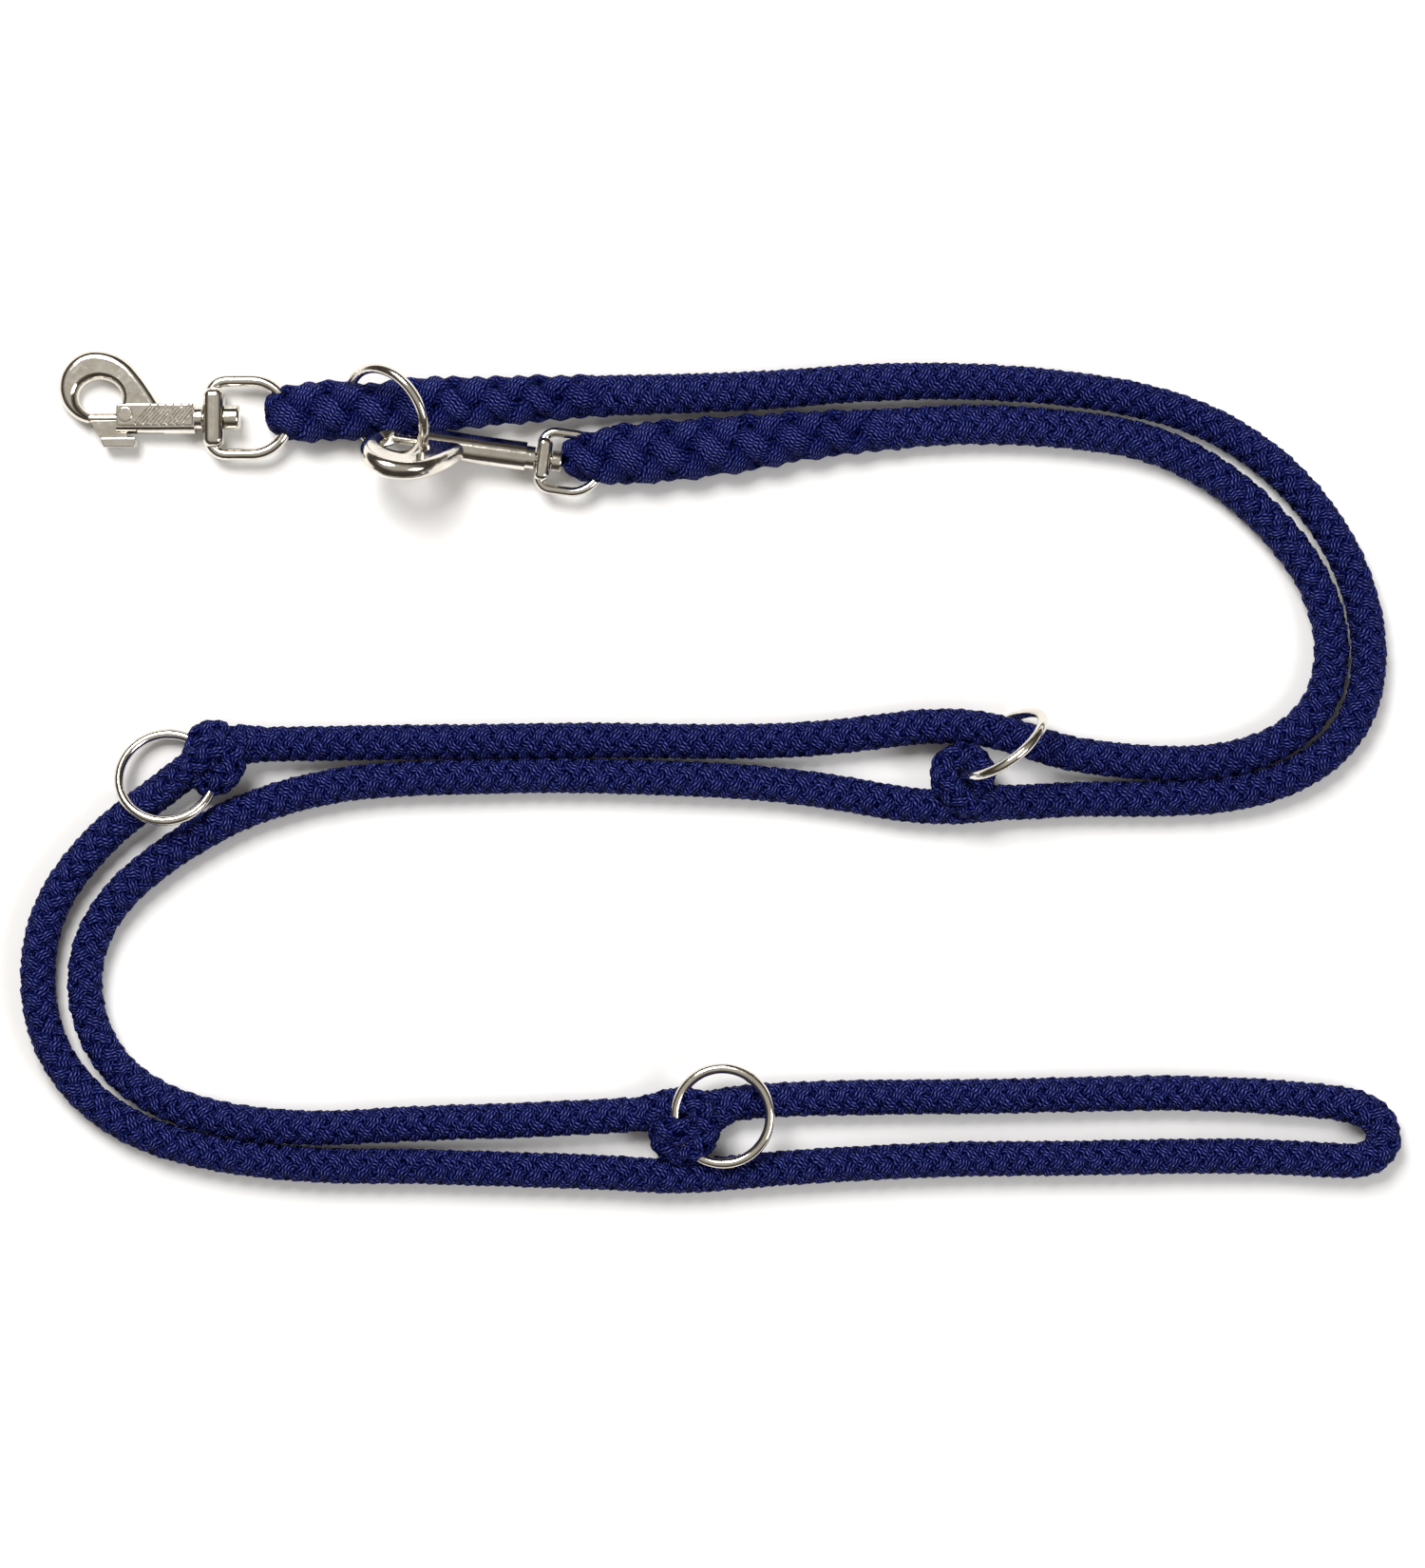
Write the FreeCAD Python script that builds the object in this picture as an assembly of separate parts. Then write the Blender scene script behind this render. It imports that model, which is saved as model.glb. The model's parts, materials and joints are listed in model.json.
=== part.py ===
import FreeCAD, Part
import math
import os

# Adjustable braided lead rope: one long braided rope with a bolt snap spliced into each
# end, one steel ring threaded through the first splice and three steel rings held in
# knots. It lies flat on a table, folded into an S, with its second snap clipped into the
# first ring. Millimetres, +Z up, the table is the plane z = 0.

Vector = FreeCAD.Vector

# ---- rope ----
ROPE_D = 10.0
ROPE_Z = 5.02                 # height of the rope's middle where it lies on the table
HUMP_Z = 8.9                  # height of its middle where it crosses the middle ring
SPLICE_HEIGHT = 12.8          # a splice is flattened to this thickness
GAP = 0.35                    # clearance round anything that moves inside the rope
TABLE_GAP = 0.02              # soft parts rest this far above the table
ARC_SHARE = 0.45              # an arc takes this share of the shorter run at each corner
OVERLAP = 0.1                 # how far a cut or a joined piece runs past a face
ON_FACE = 0.01                # a point this near a face counts as lying on it

# Route of the rope from the front splice to the middle knot: along the top and round the
# outer right-hand curve. Each point is a corner of straight runs joined by arcs.
OUTER_CURVE = [
    (-38, 110.9), (-10, 111.5), (18, 112.6), (48, 115.2), (78, 115.4), (105, 113.4),
    (129, 109.6), (149, 102.8), (166.6, 91.4), (180.6, 76.4), (190.6, 58.4), (195.2, 40),
    (194.4, 23), (187.8, 9.4), (175, -0.8), (156, -7.2), (130, -8.4), (106, -8.2),
    (91, -9.4), (78, -9),
]
# From the middle knot to the handle knot: leftwards and round the inner left-hand curve.
INNER_CURVE = [
    (72, -10.6), (60, -10.4), (38, -6.3), (14, -3.2), (-14, -2.0), (-44, -1.1), (-74, -1.7),
    (-101, -2.6), (-122, -6.3), (-142, -13.2), (-160, -23.9), (-174.2, -35.4),
    (-182.8, -48.2), (-185.6, -62), (-183, -76.6), (-174.6, -89.6), (-160, -99),
    (-139, -104.2), (-116, -105.9), (-90, -104.2), (-60, -103.4), (-32, -102.1),
    (-16, -101.2), (-8, -100.4),
]
# The handle: out along the upper leg, round the tight end fold and back below the knot.
HANDLE_LOOP = [
    (-6, -100.8), (4, -98.4), (20, -97), (48, -96.4), (78, -96.2), (108, -95.6),
    (134, -95), (158, -95.7), (176, -97), (188, -98.4), (195.6, -100.8), (199.4, -106),
    (198.9, -112), (193, -115.4), (182, -115), (164, -113.8), (136, -113.8), (106, -114.5),
    (76, -114.5), (46, -115.8), (18, -117.5), (5, -118.8),
]
# From below the handle knot round the outer left-hand curve to the left knot.
LEFT_CURVE = [
    (5, -118.8), (-8, -120.1), (-34, -118.4), (-62, -117.6), (-90, -116.7), (-114, -116.8),
    (-136, -114.9), (-158, -110.8), (-175, -103.8), (-188.6, -92.4), (-197, -77.5),
    (-199.4, -61), (-197.2, -45), (-190, -31), (-178, -17.6), (-165, -7.8), (-153, 1.2),
]
# From the left knot through the middle ring and round the inner right-hand curve.
MIDDLE_RUN = [
    (-146, 5.6), (-136, 8), (-118, 8.1), (-90, 8.6), (-60, 8.9), (-30, 9.3), (0, 8.6),
    (26, 9.1), (48, 11.4), (63, 13.4), (77, 13.2, HUMP_Z), (89, 10.6, HUMP_Z), (103, 5.8),
    (118, 3.4), (134, 2.1), (150, 2.7), (164, 6.2), (175, 12.8), (182, 22.6), (184.3, 35),
    (182.4, 47.6), (176.8, 60), (167.8, 71.8), (156, 83), (142, 92.2), (126, 98.4),
    (106, 101.2), (80, 102.8), (58, 101.6), (46, 100.8),
]

# ---- splices: axis from front to rear, then (distance from the front, radius) pairs ----
FRONT_SPLICE_AXIS = ((-132.7, 105.2), (-34.5, 111.0))
FRONT_SPLICE_PROFILE = [
    (2.2, 6.0), (9, 8.6), (25, 8.9), (34, 8.0), (45, 9.3), (60, 8.8), (80, 8.3), (91, 7.6),
    (98.4, 6.0),
]
BACK_SPLICE_AXIS = ((-42.3, 92.2), (51.5, 101.3))
BACK_SPLICE_PROFILE = [
    (2, 5.4), (7, 6.7), (13, 6.9), (20, 8.8), (47, 9.2), (58, 8.6), (70, 7.8), (81, 6.9),
    (94.2, 5.8),
]
SPLICE_TAIL_RISE = 0.4        # a splice's rear end lies this far above the rope's middle
TABLE_REACH = 250.0           # half the width of the slab that splices are flattened to

# ---- knots: centre, second centre of the stadium outline, radius, height ----
KNOT_EDGE_R = 4.5
LEFT_KNOT = {"from": (-148, 4.1), "to": (-148, 4.2), "r": 11.2, "h": 17.0}
MIDDLE_KNOT = {"from": (73.8, -5.9), "to": (73.8, -1.6), "r": 9.7, "h": 19.0}
HANDLE_KNOT = {"from": (-7.5, -105.9), "to": (-7.5, -101.7), "r": 10.1, "h": 17.0}

# ---- rings ----
RING_R = 14.0                 # to the middle of the wire: 25 mm inside
RING_WIRE_R = 1.5
WELD_R = 1.6
WELD_ARC = 6.0
# Each ring: centre, heading of its level diameter, slope of the ring plane across it,
# heading of the welded joint round the ring. The left ring lies partly under its knot, so
# it only slides round through the knot; the handle ring lies on the rope and turns over.
SPLICE_RING = {"centre": (-95.05, 105.4, 14.0), "heading": -52.0, "slope": 47.1, "weld": 35.0}
LEFT_RING = {"centre": (-160.3, -1.8, 9.2), "heading": 180.0, "slope": 24.0, "weld": -95.0}
MIDDLE_RING = {"centre": (85.9, 8.0, 14.9), "heading": -143.0, "slope": 69.4, "weld": -60.0}
HANDLE_RING = {"centre": (3.7, -101.4, 12.6), "heading": -90.0, "slope": 5.0, "weld": 140.0}
FLOP = 125.0                  # how far the handle ring turns over, degrees
HELD_HANDLE = -54.0           # heading round the handle ring of the point that its knot holds

# ---- bolt snaps, in their own frame: x from the barrel's front to the eye, y towards the
# back of the hook, z across the hook's flat sides ----
HOOK_T = 6.0
HOOK_EDGE_R = 2.5
HOOK_MIDDLE = (-6.6, 9.1)     # of the round front of the hook
HOOK_R = 10.9
HOOK_SHOULDER = (5.2, 14.6)
HOOK_ROOT = (12.6, 4.0)
HOOK_TIP_X = -8.4
GATE_END_X = 1.9              # the hook plate is open from its tip to here
GATE_HALF = 5.0
HOLE_MIDDLE = (-5.2, 6.0)     # centre and half sizes of the hook's hole at mid thickness
HOLE_HALF = (6.4, 5.3)
HOLE_LIP_R = 3.3              # the metal round the hole is rounded to this radius
HOLE_SECTIONS = 3             # sections of the hole on each side of its middle
BARREL_R = 4.1
BARREL_FLAT = 3.4             # half the thickness over the barrel's flat sides
BARREL_BELLY = 0.7            # how much deeper the barrel is on the slot's side
PANEL_Z = 3.6                 # half the thickness over the raised side panels
PANEL_LOW = -2.6
PANEL_HIGH = 4.0
PANEL_CORNER_R = 1.0
PANEL_EDGE_R = 0.5
PANEL_SHORT = 0.3             # the panels stop this far before the barrel's rear end
FLUTE_START = 8.2
FLUTE_PITCH = 2.3
FLUTE_LEAN = 49.0
FLUTE_R = 0.62
FLUTE_LIFT = 0.1              # the flutes' middles lie this far outside the panels
FLUTE_END = 1.2               # together the two ends of a flute stop this far short
FLUTE_FREE = 6.0              # length of the barrel that has no flutes
STUD_X = 2.8
STUD_Y = 0.8
STUD_R = 2.2
STUD_RISE = 0.35
STUD_EDGE_R = 0.3
STUD_ROOT = 1.0               # how deep the stud goes into the panel
COLLAR_R = 3.4
COLLAR_ROOT = 0.5
BOLT_R = 1.35
BOLT_TIP_X = -9.0
BOLT_TIP_EDGE_R = 0.4
BOLT_BORE_R = 1.45
BOLT_SOCKET = 0.8             # how deep the bolt's tip may go into the hook's tip
BOLT_HEAD_X = 3.4
BOLT_HEAD_LENGTH = 2.8
BOLT_HEAD_R = 2.2
CHAMBER_X = 3.0
CHAMBER_R = 2.3
SLOT_END_X = 14.0
SLOT_HALF = 1.35
SLOT_START_X = -0.5
SLOT_LOW = -6.0
SLOT_HIGH = -0.6
WEB_HALF = 1.1
WEB_OUTLINE = [(-8.0, -0.95), (2.75, -0.95), (2.75, -6.2), (-5.0, -6.2)]
PAD_HALF = 2.6
PAD_LOW = -8.8
PAD_OUTLINE = [(-5.1, -5.9), (5.9, -5.9), (5.5, PAD_LOW), (-3.9, PAD_LOW)]
PAD_EDGE_R = 0.45
SPRING_MEAN_R = 1.85
SPRING_WIRE_R = 0.28
SPRING_TURNS = 11
SPRING_END_GAP = 0.1
PLUG_LENGTH = 3.0
PLUG_R = 2.28
PLUG_SHORT = 0.2              # the plug stops this far inside the collar's face
POST_OVERLAP = 0.5
SHANK_R = 1.75
SHANK_FIT = 0.05
FACE_GAP = 0.3
HEAD_EDGE_R = 0.9
BOSS_RISE = 1.7               # the boss is this much thicker than the wire on each side

# The two snaps share the hook and the bolt. The front one has a flat barrel with fluted
# panels, the back one a plain round barrel. They also differ in eye, and in how they lie:
# origin of the snap's frame and its yaw, pitch and roll.
FRONT_SNAP = {
    "fluted": True, "barrel": 23.2, "collar": 2.0,
    "boss": 6.3, "boss_half": 8.8, "boss_edge_r": 2.4, "head_r": 3.65, "head": 4.3,
    "eye_r": 10.85, "eye_wire_r": 1.75, "eye_corner": 5.0, "eye_centre": 39.9,
    "origin": (-175.3, 104.5, 3.9), "yaw": 0.0, "pitch": -2.8, "roll": 0.0,
}
BACK_SNAP = {
    "fluted": False, "barrel": 30.9, "collar": 2.6,
    "boss": 4.6, "boss_half": 6.4, "boss_edge_r": 1.9, "head_r": 3.2, "head": 3.1,
    "eye_r": 8.5, "eye_wire_r": 1.4, "eye_corner": 4.0, "eye_centre": 44.7,
    "origin": (-85.0, 96.9, 8.9), "yaw": -7.7, "pitch": 3.0, "roll": 124.0,
}
FRONT_EYE_PIVOT_IN = 1.5      # the front eye turns about a line this far inside its end
FRONT_EYE_CAVITY_R = 4.4
FRONT_EYE_CAVITY_HALF = 20.0
BACK_EYE_SLOT = 5.0           # height of the slot in the back splice that holds its eye
BACK_EYE_GAP = 0.6            # clearance round the eye's wire in that slot
BACK_EYE_SLOT_X = 30.0        # the slot starts here, clear of the splice
BACK_EYE_SLOT_SIDE = 6.0      # and reaches this far outside the eye on both sides
BACK_SNAP_MARGIN = 2.4        # the front splice stands this far clear of the back snap
BACK_SNAP_ROOM_X = 16.0       # rear end of the room for the thumb piece
BACK_SNAP_ROOM_HOOK_R = 11.2  # radius of the room for the hook's round front
BACK_SNAP_ROOM_EDGE_R = 1.0


def vec(point, z=0.0):
    """A 3-D vector from an (x, y) or (x, y, z) point."""
    return Vector(point[0], point[1], point[2] if len(point) > 2 else z)


def rounded_path(points):
    """Straight runs joined by tangent arcs, each as large as its two runs allow."""
    edges = []
    radii = []
    last = points[0]
    for before, corner, after in zip(points, points[1:], points[2:]):
        back = before - corner
        ahead = after - corner
        shorter = min(back.Length, ahead.Length)
        turn = math.pi - back.getAngle(ahead)
        trim = ARC_SHARE * shorter
        radius = trim / math.tan(turn / 2)
        back.normalize()
        ahead.normalize()
        start = corner + back * trim
        end = corner + ahead * trim
        inward = (back + ahead).normalize()
        middle = corner + inward * (radius / math.cos(turn / 2) - radius)
        edges.append(Part.LineSegment(last, start).toShape())
        edges.append(Part.Arc(start, middle, end).toShape())
        radii.append(radius)
        last = end
    edges.append(Part.LineSegment(last, points[-1]).toShape())
    return Part.Wire(edges), radii


def tube(name, route, diameter=ROPE_D, report=True):
    """A round tube along a rope route, with its bend radii and volume printed."""
    path, radii = rounded_path([vec(p, ROPE_Z) for p in route])
    first = path.OrderedEdges[0]
    start = first.valueAt(first.FirstParameter)
    ahead = first.tangentAt(first.FirstParameter)
    section = Part.Wire(Part.makeCircle(diameter / 2, start, ahead))
    solid = path.makePipeShell([section], True, False)
    if report:
        expected = math.pi * diameter ** 2 / 4 * path.Length
        print(name, "length", round(path.Length, 1), "smallest radius", round(min(radii), 1),
              "radii", [round(r) for r in radii], "volume ratio", round(solid.Volume / expected, 4))
    return solid


def outer_edges(solid, test):
    """The edges whose every end and middle passes a test of its point."""
    chosen = []
    for edge in solid.Edges:
        middle = edge.valueAt((edge.FirstParameter + edge.LastParameter) / 2)
        if all(test(p) for p in [v.Point for v in edge.Vertexes] + [middle]):
            chosen.append(edge)
    return chosen


def box(low, high):
    """A box between two corners."""
    size = [h - l for l, h in zip(low, high)]
    return Part.makeBox(size[0], size[1], size[2], Vector(*low))


def rod(radius, x_from, x_to, y=0.0):
    """A round bar along x."""
    return Part.makeCylinder(radius, x_to - x_from, Vector(x_from, y, 0), Vector(1, 0, 0))


# ---------------------------------------------------------------- rings

def ring_placement(ring):
    """Where a ring lies: its own X is the level diameter, its own Z the ring's axis."""
    turn = FreeCAD.Rotation(Vector(0, 0, 1), ring["heading"])
    lean = FreeCAD.Rotation(Vector(1, 0, 0), ring["slope"])
    return FreeCAD.Placement(Vector(*ring["centre"]), turn.multiply(lean))


def make_ring(ring):
    """Round wire ring with the slight bead of its welded joint."""
    wire = Part.makeTorus(RING_R, RING_WIRE_R)
    bead = Part.makeTorus(RING_R, WELD_R, Vector(0, 0, 0), Vector(0, 0, 1), 0, 360, WELD_ARC)
    bead.rotate(Vector(0, 0, 0), Vector(0, 0, 1), ring["weld"])
    solid = wire.fuse(bead)
    solid.Placement = ring_placement(ring)
    return solid


def ring_channel(ring):
    """The room that a ring needs to turn round its own axis."""
    room = Part.makeTorus(RING_R, RING_WIRE_R + GAP)
    room.Placement = ring_placement(ring)
    return room


def held_point(ring, heading):
    """A point on the wire's middle, and the wire's direction there."""
    place = ring_placement(ring)
    angle = math.radians(heading)
    point = place.multVec(Vector(RING_R * math.cos(angle), RING_R * math.sin(angle), 0))
    along = place.Rotation.multVec(Vector(-math.sin(angle), math.cos(angle), 0))
    return point, along


def flop_room(ring, heading, lift):
    """The room that a ring needs to turn over about the point where a knot holds it."""
    point, along = held_point(ring, heading)
    centre = Vector(*ring["centre"])
    inward = (centre - point).normalize()
    normal = along.cross(inward)
    bore = RING_WIRE_R + GAP
    disc = Part.Face(Part.Wire(Part.makeCircle(RING_R + bore, centre, normal)))
    hole = Part.Face(Part.Wire(Part.makeCircle(RING_R - bore, centre, normal)))
    reach = 2 * RING_R
    corners = [
        point - along * reach,
        point + along * reach,
        point + along * reach + inward * 2 * reach,
        point - along * reach + inward * 2 * reach,
    ]
    near_side = Part.Face(Part.makePolygon(corners + corners[:1]))
    swept = disc.cut(hole).common(near_side).Faces[0]
    room = swept.revolve(point, along, lift)
    room = room.fuse(Part.makeCylinder(bore, RING_R, point - along * (RING_R / 2), along))
    room = room.fuse(ring_channel(ring))
    turned = ring_channel(ring)
    turned.rotate(point, along, lift)
    return room.fuse(turned)


# ---------------------------------------------------------------- soft parts of the rope

def make_splice(axis, profile):
    """A splice: round about its axis, blunt in front, then flattened to one thickness."""
    front = vec(axis[0], SPLICE_HEIGHT / 2)
    rear = vec(axis[1], ROPE_Z + SPLICE_TAIL_RISE)
    along = (rear - front).normalize()
    across = along.cross(Vector(0, 0, 1)).normalize()
    outline = [front]
    outline += [front + along * distance + across * radius for distance, radius in profile]
    outline.append(front + along * profile[-1][0])
    face = Part.Face(Part.makePolygon(outline + outline[:1]))
    solid = face.revolve(front, along, 360)
    slab = box((-TABLE_REACH, -TABLE_REACH, TABLE_GAP),
               (TABLE_REACH, TABLE_REACH, SPLICE_HEIGHT))
    return solid.common(slab)


def make_knot(knot):
    """A knot as one rounded stadium block."""
    low = vec(knot["from"], TABLE_GAP)
    high = vec(knot["to"], TABLE_GAP)
    radius = knot["r"]
    height = knot["h"] - TABLE_GAP
    solid = Part.makeCylinder(radius, height, low)
    if (high - low).Length > 1:
        solid = solid.fuse(Part.makeCylinder(radius, height, high))
        between = box((low.x - radius, low.y, low.z), (low.x + radius, high.y, low.z + height))
        solid = solid.fuse(between)
        solid = solid.removeSplitter()
    rims = outer_edges(solid, lambda p: min(abs(p.z - TABLE_GAP), abs(p.z - knot["h"])) < ON_FACE)
    return solid.makeFillet(KNOT_EDGE_R, rims)


# ---------------------------------------------------------------- bolt snap

def tangent_arc(start, heading, end):
    """The arc that leaves a point in a direction and ends at another; and its last heading."""
    chord = end - start
    across = Vector(-heading.y, heading.x, 0)
    radius = chord.Length ** 2 / (2 * chord.dot(across))
    centre = start + across * radius
    middle = (start + end) / 2 - centre
    middle.normalize()
    arc = Part.Arc(start, centre + middle * abs(radius), end).toShape()
    return arc, arc.tangentAt(arc.LastParameter)


def make_hook():
    """The cast hook plate with its rounded edges, open at the gate."""
    half = HOOK_T / 2
    middle = Vector(*HOOK_MIDDLE, -half)
    drop = math.sqrt(HOOK_R ** 2 - (HOOK_TIP_X - middle.x) ** 2)
    tip = Vector(HOOK_TIP_X, middle.y - drop, -half)
    far = middle - Vector(HOOK_R, 0, 0)
    top = middle + Vector(0, HOOK_R, 0)
    shoulder = Vector(*HOOK_SHOULDER, -half)
    root = Vector(*HOOK_ROOT, -half)
    back, heading = tangent_arc(top, Vector(1, 0, 0), shoulder)
    slope, heading = tangent_arc(shoulder, heading, root)
    inside = Vector(root.x, 0, -half)
    outline = Part.Wire([
        Part.Arc(tip, far, top).toShape(),
        back,
        slope,
        Part.LineSegment(root, inside).toShape(),
        Part.LineSegment(inside, tip).toShape(),
    ])
    plate = Part.Face(outline).extrude(Vector(0, 0, HOOK_T))
    gate = box((HOOK_TIP_X, -GATE_HALF, -half - 1), (GATE_END_X, GATE_HALF, half + 1))
    plate = plate.cut(gate)
    rims = outer_edges(plate, lambda p: abs(abs(p.z) - half) < ON_FACE)
    rims = [edge for edge in rims if edge.Curve.TypeId == "Part::GeomCircle"]
    plate = plate.makeFillet(HOOK_EDGE_R, rims)
    sections = []
    for number in range(-HOLE_SECTIONS, HOLE_SECTIONS + 1):
        height = (half + OVERLAP / 2) * number / HOLE_SECTIONS
        flare = HOLE_LIP_R - math.sqrt(HOLE_LIP_R ** 2 - height ** 2)
        middle = Vector(*HOLE_MIDDLE, height)
        outline = Part.Ellipse(middle, HOLE_HALF[0] + flare, HOLE_HALF[1] + flare)
        sections.append(Part.Wire(outline.toShape()))
    return plate.cut(Part.makeLoft(sections, True, False))


def add_panels(body, length):
    """A barrel's raised side panels, each with its flutes and its stud."""
    panel = box((0, PANEL_LOW, -PANEL_Z), (length - PANEL_SHORT, PANEL_HIGH, PANEL_Z))
    front = outer_edges(panel, lambda p: p.x < ON_FACE)
    front = [edge for edge in front if edge.Length > PANEL_HIGH - PANEL_LOW + ON_FACE]
    panel = panel.makeFillet(PANEL_CORNER_R, front)
    rims = outer_edges(panel, lambda p: abs(abs(p.z) - PANEL_Z) < ON_FACE)
    panel = panel.makeFillet(PANEL_EDGE_R, rims)
    body = body.fuse(panel)
    for side in (-1, 1):
        stud = Part.makeCylinder(STUD_R, STUD_ROOT + STUD_RISE, Vector(STUD_X, STUD_Y, 0))
        stud = stud.makeFillet(STUD_EDGE_R, outer_edges(stud, lambda p: p.z > STUD_ROOT))
        if side < 0:
            stud.rotate(Vector(STUD_X, STUD_Y, 0), Vector(1, 0, 0), 180)
        stud.translate(Vector(0, 0, side * (PANEL_Z - STUD_ROOT)))
        lean = math.radians(FLUTE_LEAN) * side
        reach = (PANEL_HIGH - PANEL_LOW) / math.sin(math.radians(FLUTE_LEAN)) - FLUTE_END
        flutes = []
        direction = Vector(math.cos(lean), abs(math.sin(lean)), 0)
        for number in range(int((length - FLUTE_FREE) / FLUTE_PITCH)):
            x = FLUTE_START + number * FLUTE_PITCH
            middle = Vector(x, (PANEL_HIGH + PANEL_LOW) / 2, side * (PANEL_Z + FLUTE_LIFT))
            start = middle - direction * (reach / 2)
            flutes.append(Part.makeCylinder(FLUTE_R, reach, start, direction))
        body = body.cut(flutes)
        body = body.fuse(stud)
    return body


def make_snap_body(snap):
    """Hook, barrel and rear collar in one casting, bored and slotted."""
    length = snap["barrel"]
    barrel = rod(BARREL_R, 0, length).fuse(rod(BARREL_R, 0, length, -BARREL_BELLY))
    if snap["fluted"]:
        room = 2 * BARREL_R
        flat = box((-1, -room, -BARREL_FLAT), (length + 1, room, BARREL_FLAT))
        barrel = barrel.common(flat)
    body = make_hook().fuse(barrel)
    body = body.fuse(rod(COLLAR_R, length - COLLAR_ROOT, length + snap["collar"]))
    if snap["fluted"]:
        body = add_panels(body, length)
    hollow = rod(BOLT_BORE_R, HOOK_TIP_X - BOLT_SOCKET, CHAMBER_X + OVERLAP)
    hollow = hollow.fuse(rod(CHAMBER_R, CHAMBER_X, length + snap["collar"] + OVERLAP))
    slot = box((SLOT_START_X, SLOT_LOW, -SLOT_HALF), (SLOT_END_X, SLOT_HIGH, SLOT_HALF))
    hollow = hollow.fuse(slot)
    return body.cut(hollow)


def make_bolt():
    """The sliding bolt: a round bar with a head that the spring pushes on."""
    bar = rod(BOLT_R, BOLT_TIP_X, BOLT_HEAD_X + OVERLAP)
    tip = outer_edges(bar, lambda p: abs(p.x - BOLT_TIP_X) < ON_FACE)
    bar = bar.makeFillet(BOLT_TIP_EDGE_R, tip)
    return bar.fuse(rod(BOLT_HEAD_R, BOLT_HEAD_X, BOLT_HEAD_X + BOLT_HEAD_LENGTH))


def plate(outline, half):
    """A flat plate with the given outline, of one thickness on both sides of the middle."""
    corners = [Vector(x, y, -half) for x, y in outline + outline[:1]]
    return Part.Face(Part.makePolygon(corners)).extrude(Vector(0, 0, 2 * half))


def make_thumb_piece():
    """The thumb piece: a web under the bolt that runs in the slot, and a wider foot pad."""
    web = plate(WEB_OUTLINE, WEB_HALF)
    pad = plate(PAD_OUTLINE, PAD_HALF)
    pad = pad.makeFillet(PAD_EDGE_R, pad.Edges)
    return web.fuse(pad).cut(rod(BOLT_R, BOLT_TIP_X, BOLT_HEAD_X + OVERLAP))


def make_spring(snap):
    """Compression spring between the bolt's head and the swivel post's plug."""
    start = BOLT_HEAD_X + BOLT_HEAD_LENGTH + SPRING_END_GAP + SPRING_WIRE_R
    end = snap["barrel"] + snap["collar"] - PLUG_LENGTH - SPRING_END_GAP - SPRING_WIRE_R
    length = end - start
    helix = Part.makeHelix(length / SPRING_TURNS, length, SPRING_MEAN_R)
    start_point = Vector(SPRING_MEAN_R, 0, 0)
    section = Part.Wire(Part.makeCircle(SPRING_WIRE_R, start_point, Vector(0, 1, 0)))
    coil = Part.Wire(helix.Edges).makePipeShell([section], True, True)
    coil.rotate(Vector(0, 0, 0), Vector(0, 1, 0), 90)
    coil.translate(Vector(start, 0, 0))
    return coil


def make_swivel_post(snap):
    """The post pressed into the barrel's rear end, with the peened head inside the eye."""
    rear = snap["barrel"] + snap["collar"]
    head_x = rear + FACE_GAP + snap["boss"] + FACE_GAP
    end_x = head_x + snap["head"]
    post = rod(PLUG_R, rear - PLUG_LENGTH, rear - PLUG_SHORT)
    post = post.fuse(rod(SHANK_R, rear - POST_OVERLAP, head_x + POST_OVERLAP))
    head = rod(snap["head_r"], head_x, end_x)
    head = head.makeFillet(HEAD_EDGE_R, outer_edges(head, lambda p: p.x > end_x - ON_FACE))
    return post.fuse(head)


def make_eye(snap):
    """The round-ended eye: a bent wire loop with a bored boss for the post."""
    front = snap["barrel"] + snap["collar"] + FACE_GAP
    base_x = front + snap["eye_wire_r"]
    reach = snap["eye_r"]
    corner = snap["eye_corner"]
    wire_r = snap["eye_wire_r"]
    end_x = snap["eye_centre"]
    bend = corner * (1 - math.sqrt(0.5))
    swing = reach * math.sqrt(0.5)
    halves = []
    middle = Vector(base_x, 0, 0)
    for side in (-1, 1):
        corner_start = Vector(base_x, side * (reach - corner), 0)
        corner_middle = Vector(base_x + bend, side * (reach - bend), 0)
        corner_end = Vector(base_x + corner, side * reach, 0)
        bow_start = Vector(end_x, side * reach, 0)
        bow_middle = Vector(end_x + swing, side * swing, 0)
        bow_end = Vector(end_x + reach, 0, 0)
        path = Part.Wire([
            Part.LineSegment(middle, corner_start).toShape(),
            Part.Arc(corner_start, corner_middle, corner_end).toShape(),
            Part.LineSegment(corner_end, bow_start).toShape(),
            Part.Arc(bow_start, bow_middle, bow_end).toShape(),
        ])
        section = Part.Wire(Part.makeCircle(wire_r, middle, Vector(0, 1, 0)))
        halves.append(path.makePipeShell([section], True, False))
    half = snap["boss_half"]
    rise = wire_r + BOSS_RISE
    boss = box((front, -half, -rise), (front + snap["boss"], half, rise))
    boss = boss.makeFillet(snap["boss_edge_r"], boss.Edges)
    eye = halves[0].fuse(halves[1]).fuse(boss)
    return eye.cut(rod(SHANK_R + SHANK_FIT, front - 1, front + snap["boss"] + 1))


def snap_placement(snap):
    """Where a snap lies."""
    turn = FreeCAD.Rotation(snap["yaw"], snap["pitch"], snap["roll"])
    return FreeCAD.Placement(Vector(*snap["origin"]), turn)


def eye_placement(snap):
    """Where a snap's eye lies: on the snap's axis, with its loop level across."""
    turn = FreeCAD.Rotation(snap["yaw"], snap["pitch"], 0)
    return FreeCAD.Placement(Vector(*snap["origin"]), turn)


def place(solid, placement):
    """A copy of a solid moved to its place."""
    return solid.transformed(placement.toMatrix())


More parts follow.
